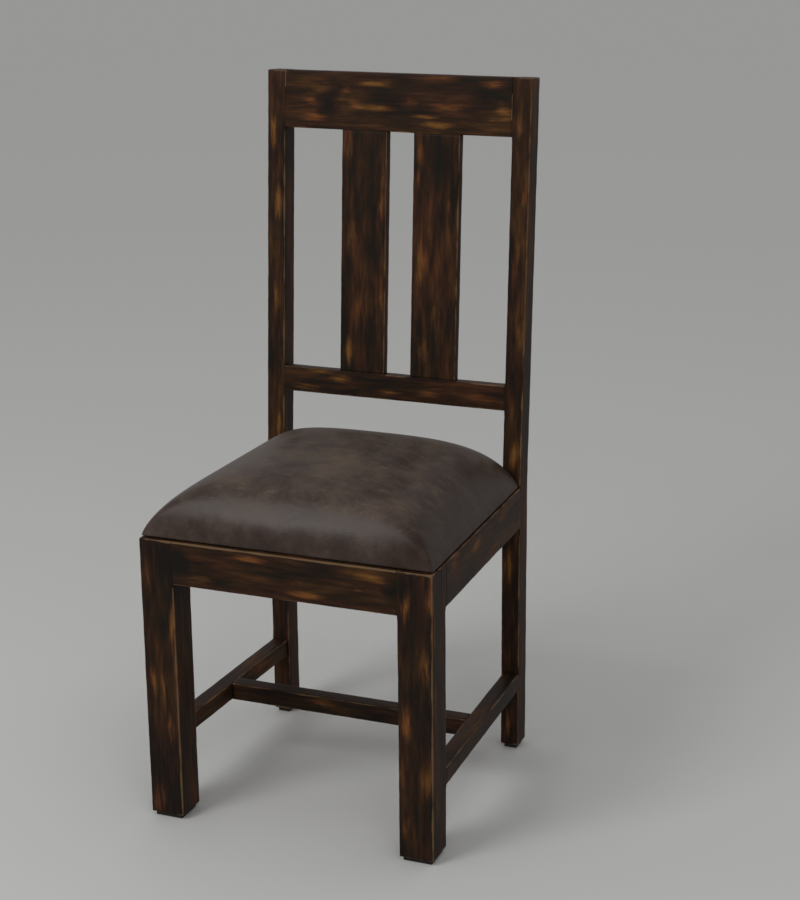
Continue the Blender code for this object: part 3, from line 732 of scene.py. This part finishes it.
rightOfFrame = ((frontHalf, legBack, 0), (1, -sideSlope, 0))
leftInside = ((-frontHalf + back["stretcherWidth"], legBack, 0), (1, sideSlope, 0))
sideApronRubs = [((478, 543), 34, 9, 0.65, -0.1), ((455, 562), 28, 9, 0.6, -0.2),
                 ((504, 515), 30, 9, 0.5, -0.3), ((445, 580), 18, 16, -0.5, 0.0)]
stretcherRubs = [((260, 668), 60, 8, 0.4, 0.0)]
crossRubs = [((323, 703), 34, 7, 0.5, -0.1)]
for number, (name, side) in enumerate(sides.items()):
    apronSpots = placeRubs(sideApronRubs, rightOfFrame, 1) if side > 0 else ()
    stretcherSpots = placeRubs(stretcherRubs, leftInside, 1) if side < 0 else ()
    sideBar("sideApron." + name, "side_apron_" + name, side, apronBottom, seatTop, back["sideThickness"],
            wornWood("sideApronFinish." + name, 1, 23 + number, apronSpots))
    sideBar("sideStretcher." + name, "side_stretcher_" + name, side, stretcherLow[2], stretcherHigh[2],
            back["stretcherWidth"], wornWood("stretcherFinish." + name, 1, 27 + number, stretcherSpots))
crossMiddle = (crossLow[1] + crossHigh[1]) / 2
crossHalf = frontHalf + sideSlope * (crossMiddle - legBack) - back["stretcherWidth"]
crossBar = sawBar("crossStretcher", (-crossHalf, crossLow[1], crossLow[2]),
                  (crossHalf, crossHigh[1], crossHigh[2]), 0)
ageBar(crossBar)
crossSpots = placeRubs(crossRubs, ((0, crossLow[1], 0), (0, 1, 0)), 0)
dress(crossBar, wornWood("crossFinish", 0, 31, crossSpots), "worn_paint_wood", "cross_stretcher")
print("seat frame and stretchers done")


# cushion
cushion = {
    "frontMargin": 0.007,
    "sideMargin": 0.003,
    "rearGap": 0.002,
    "sideHeight": 0.0028,
    "baseHeight": 0.0008,  # of the leather's lower edge, above the frame
    "crown": 0.0890,
    "softness": 0.76,
    "sideFullness": 2.84,
    "depthFullness": 5.62,
    "hip": 3,
    "columns": 76,
    "rows": 70,
    "leather": 0.0014,
    "turnUnder": 0.018,
    "foamInset": 0.0026,
    "foamBase": 0.0003,  # above the board
    # the sides go down in steps of (inward, share of the height)
    "leatherSteps": ((0.0002, 0.45), (0.0012, 0.85), (0.0030, 1.0)),
    "foamSteps": ((0.0024, 0.12), (0.0036, 0.5), (0.0036, 1.0)),
    "pressure": 4.0,
    "puff": 0.0035,  # the most that the filling may push the leather out
    "frames": 20,
    "heldAbove": 0.001,
    "rearOverlap": 0.0070,  # how far it swells over the rear apron, between the posts
    "overlapGap": 0.002,  # clear of the posts
    "overlapRun": 0.014,  # how gently it starts beside them
    "overlapSharp": 30,  # how closely it keeps to the rear edge
}
leatherFinish = {
    "deep": (0.0290, 0.0180, 0.0136, 1),
    "brown": (0.0410, 0.0265, 0.0208, 1),
    "dusty": (0.0620, 0.0430, 0.0335, 1),
    "tan": (0.0920, 0.0655, 0.0460, 1),
    # worn places on the crown: pixel in the photograph, half sizes across and deep, strength
    "paleSpots": (((344, 463), (0.055, 0.075), 0.16), ((306, 446), (0.022, 0.034), 0.10),
                  ((289, 458), (0.024, 0.030), 0.08)),
    "spotHeight": 0.1,
    # waves per metre, detail and roughness of each pattern
    "clouds": (13, 6, 0.66),
    "blotches": (42, 5, 0.65),
    "pores": (900, 2, 0.5),
    "grain": 620,
    "scuffs": (40, 130),  # from side to side and from front to back
    "scuffEdge": (0.54, 0.72),
    "crownFrom": 0.02,  # height above the frame where the crown's dust and painted top light start
    "crownFull": 0.095,
    "sideShadeEdge": (0.13, 0.205),  # how far to the right the painted shade and the duller gloss start and are full
    "sidePaintedShade": -0.05,
    "sideDull": -0.12,
    "gloss": 0.20,
    "roughness": 0.07,
    "roughWorn": 0.50,
    "roughDusty": 0.16,
    "relief": (0.22, 0.0004),  # strength and depth
}


def crownRise(u, v):
    across = 1 - abs(u) ** cushion["sideFullness"]
    along = 1 - abs(v) ** cushion["depthFullness"]
    if min(across, along) <= 0:
        return 0.0
    hip = cushion["hip"]
    return (2 / (across**-hip + along**-hip)) ** (cushion["softness"] / hip)


def cushionSpan(y):
    share = (y - legBack) / (postFront - legBack)
    return frontHalf + (rearHalf - frontHalf) * share - cushion["sideMargin"]


def makePad(name, inset, bottomHeight, drops):
    # the crowned top, drawn in by the inset, and its sides, drawn down in steps
    frontEdge = legFront + cushion["frontMargin"] + inset
    rearEdge = postFront - cushion["rearGap"] - inset
    rim = seatTop + cushion["sideHeight"] + inset * 0.25
    bpy.ops.object.select_all(action="DESELECT")
    bpy.ops.mesh.primitive_grid_add(x_subdivisions=cushion["columns"], y_subdivisions=cushion["rows"],
                                    size=2)
    pad = bpy.context.object
    pad.name = pad.data.name = name
    for vert in pad.data.vertices:
        u, v = math.sin(vert.co.x * math.pi / 2), math.sin(vert.co.y * math.pi / 2)
        vert.co.y = frontEdge + (rearEdge - frontEdge) * (v + 1) / 2
        vert.co.x = u * (cushionSpan(vert.co.y) - inset)
        vert.co.z = rim + (cushion["crown"] - inset) * crownRise(u, v)
        clear = postInner - cushion["overlapGap"] - abs(vert.co.x)
        swell = min(max(clear / cushion["overlapRun"], 0.0), 1.0)
        vert.co.y += cushion["rearOverlap"] * swell**0.5 * max(v, 0.0) ** cushion["overlapSharp"]
    middle = (frontEdge + rearEdge) / 2
    bpy.ops.object.mode_set(mode="EDIT")
    selectEdges(pad, lambda edge: edge.is_boundary)
    reached = 0.0
    for inward, share in drops:
        bpy.ops.mesh.extrude_edges_move()
        shape = bmesh.from_edit_mesh(pad.data)
        for vert in shape.verts:
            if vert.select:
                halfDepth = (rearEdge - frontEdge) / 2 - reached
                halfWidth = cushionSpan(vert.co.y) - inset - reached
                vert.co.x *= 1 - (inward - reached) / halfWidth
                vert.co.y = middle + (vert.co.y - middle) * (1 - (inward - reached) / halfDepth)
                vert.co.z = rim + (bottomHeight - rim) * share
        bmesh.update_edit_mesh(pad.data)
        reached = inward
    bpy.ops.object.mode_set(mode="OBJECT")
    return pad


def plump(pad):
    # air pressure under the leather, with its lower edge held, and no point moved further than the cap
    scene = bpy.context.scene
    heldBelow = seatTop + cushion["sideHeight"] + cushion["heldAbove"]
    held = pad.vertex_groups.new(name="held")
    held.add([v.index for v in pad.data.vertices if v.co.z < heldBelow], 1.0, "REPLACE")
    before = [(v.co.copy(), v.normal.copy()) for v in pad.data.vertices]
    cloth = pad.modifiers.new("filling", "CLOTH")
    cloth.settings.use_pressure = True
    cloth.settings.uniform_pressure_force = cushion["pressure"]
    cloth.settings.vertex_group_mass = "held"
    cloth.settings.effector_weights.gravity = 0
    cloth.point_cache.frame_start, cloth.point_cache.frame_end = 1, cushion["frames"]
    for number in range(1, cushion["frames"] + 1):
        scene.frame_set(number)
    applyModifiers(pad)
    scene.frame_set(1)
    for vert, (start, outward) in zip(pad.data.vertices, before):
        vert.co = start + outward * min(max((vert.co - start).dot(outward), 0.0), cushion["puff"])


def seatMaterial():
    look = leatherFinish
    material, tree, shader = newMaterial("brownLeather")
    place = put(tree, "ShaderNodeTexCoord").outputs["Object"]
    parts = put(tree, "ShaderNodeSeparateXYZ", {"Vector": place}).outputs
    clouds = noise(tree, place, *look["clouds"])
    blotches = noise(tree, place, *look["blotches"])
    scuffs = grainNoise(tree, place, 0, look["scuffs"], (3, 7, 1), detail=5, roughness=0.7).outputs[0]
    # the crown is lighter: dust, and painted light on the top faces
    crown = between(tree, parts["Z"], seatTop + look["crownFrom"], seatTop + look["crownFull"])
    mottle = maths(tree, "MULTIPLY_ADD", blotches, 0.4, maths(tree, "MULTIPLY", clouds, 0.6))
    rubbedHide = maths(tree, "MULTIPLY", between(tree, scuffs, *look["scuffEdge"]),
                       scaled(tree, crown, 0.20, 0.03))
    worn = maths(tree, "ADD", rubbedHide, maths(tree, "MULTIPLY_ADD", crown, 0.07, mottle))
    for pixel, (halfAcross, halfDeep), weight in look["paleSpots"]:
        centre = fromPhoto(pixel, (0, 0, seatTop + cushion["crown"]), (0, 0, 1))
        glow = softSpot(tree, place, centre, (halfAcross, halfDeep, look["spotHeight"]))
        worn = maths(tree, "MULTIPLY_ADD", glow, weight, worn)
    # painted shade: the right side is darker, and its gloss duller
    shadedSide = between(tree, parts["X"], *look["sideShadeEdge"])
    worn = maths(tree, "MULTIPLY_ADD", shadedSide, look["sidePaintedShade"], worn)
    gloss = scaled(tree, shadedSide, look["sideDull"], look["gloss"])
    tree.links.new(gloss, shader.inputs["Specular IOR Level"])
    tones = colours(tree, worn, ((0.40, look["deep"]), (0.50, look["brown"]),
                                 (0.60, look["dusty"]), (0.74, look["tan"])))
    tree.links.new(tones, shader.inputs["Base Color"])
    dull = maths(tree, "MULTIPLY_ADD", crown, look["roughDusty"],
                 scaled(tree, worn, look["roughWorn"], look["roughness"]))
    tree.links.new(dull, shader.inputs["Roughness"])
    relief = maths(tree, "MULTIPLY_ADD", noise(tree, place, *look["pores"]), 0.5,
                   cells(tree, place, look["grain"]))
    addRelief(tree, shader, relief, *look["relief"])
    return material


seat = makePad("seatLeather", 0.0, seatTop + cushion["baseHeight"],
               cushion["leatherSteps"] + ((cushion["turnUnder"], 1.0),))
plump(seat)
thick = seat.modifiers.new("leather", "SOLIDIFY")
thick.thickness = cushion["leather"]
thick.offset = -1
smooth = seat.modifiers.new("smooth", "SUBSURF")
smooth.levels = smooth.render_levels = 1
applyModifiers(seat)
bpy.ops.object.shade_smooth()
dress(seat, seatMaterial(), "seat_leather", "seat_leather")
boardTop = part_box("seat_board")[1][2]
foam = makePad("seatFoam", cushion["foamInset"], boardTop + cushion["foamBase"], cushion["foamSteps"])
bpy.ops.object.mode_set(mode="EDIT")
selectEdges(foam, lambda edge: edge.is_boundary)
bpy.ops.mesh.edge_face_add()
bpy.ops.object.mode_set(mode="OBJECT")
bpy.ops.object.shade_smooth_by_angle(angle=wood["sharpAngle"])


padFoam = {
    "pale": (0.66, 0.60, 0.40, 1),
    "yellowed": (0.52, 0.42, 0.22, 1),
    "roughness": 0.95,
    "clouds": (9, 3),  # waves per metre and detail
    "cells": 900,
    "relief": (0.5, 0.0006),
}


def foamMaterial():
    material = plainMaterial("padFoam", padFoam["pale"], padFoam["roughness"])
    tree = material.node_tree
    shader = tree.nodes["Principled BSDF"]
    place = put(tree, "ShaderNodeTexCoord").outputs["Object"]
    tones = colours(tree, noise(tree, place, *padFoam["clouds"]),
                    ((0.35, padFoam["pale"]), (0.65, padFoam["yellowed"])))
    tree.links.new(tones, shader.inputs["Base Color"])
    addRelief(tree, shader, cells(tree, place, padFoam["cells"]), *padFoam["relief"])
    return material


dress(foam, foamMaterial(), "foam", "seat_foam")
print("cushion done")


# hidden pieces keep their CAD shape and only get a finish, by a word in their names
hiddenFinishes = {
    "corner_block": {
        "name": "sawnWood", "light": (0.27, 0.165, 0.085, 1), "dark": (0.15, 0.08, 0.038, 1),
        "waves": (40, 40, 420), "roughness": 0.78, "relief": 0.0005, "gloss": 0.5, "metallic": 0.0,
    },
    "seat_board": {
        "name": "plywood", "light": (0.42, 0.29, 0.16, 1), "dark": (0.27, 0.165, 0.08, 1),
        "waves": (14, 150, 700), "roughness": 0.8, "relief": 0.0003, "gloss": 0.5, "metallic": 0.0,
    },
    "foot_pad": {
        "name": "padPlastic", "light": (0.017, 0.015, 0.013, 1), "dark": (0.007, 0.0065, 0.006, 1),
        "waves": (300, 300, 300), "roughness": 0.7, "relief": 0.0003, "gloss": 0.3, "metallic": 0.0,
    },
    "screw": {
        "name": "screwSteel", "light": (0.48, 0.47, 0.44, 1), "dark": (0.30, 0.29, 0.27, 1),
        "waves": (500, 500, 500), "roughness": 0.42, "relief": 0.0001, "gloss": 0.5, "metallic": 1.0,
    },
}


def mottled(look):
    # a surface with two tones, finer or coarser along each axis
    material = plainMaterial(look["name"], look["light"], look["roughness"])
    tree = material.node_tree
    shader = tree.nodes["Principled BSDF"]
    shader.inputs["Specular IOR Level"].default_value = look["gloss"]
    shader.inputs["Metallic"].default_value = look["metallic"]
    place = put(tree, "ShaderNodeTexCoord").outputs["Object"]
    stretched = put(tree, "ShaderNodeMapping", {"Vector": place, "Scale": look["waves"]}).outputs[0]
    tones = noise(tree, stretched, 1.0, 4, 0.6)
    tree.links.new(colours(tree, tones, ((0.36, look["dark"]), (0.62, look["light"]))),
                   shader.inputs["Base Color"])
    tree.links.new(scaled(tree, tones, 0.3, look["roughness"] - 0.15), shader.inputs["Roughness"])
    addRelief(tree, shader, tones, 0.5, look["relief"])
    return material


for word, look in hiddenFinishes.items():
    material = mottled(look)
    for node in (n for n in nodes if word in n):
        nodes[node].data.materials.clear()
        nodes[node].data.materials.append(material)
print("hidden pieces done")
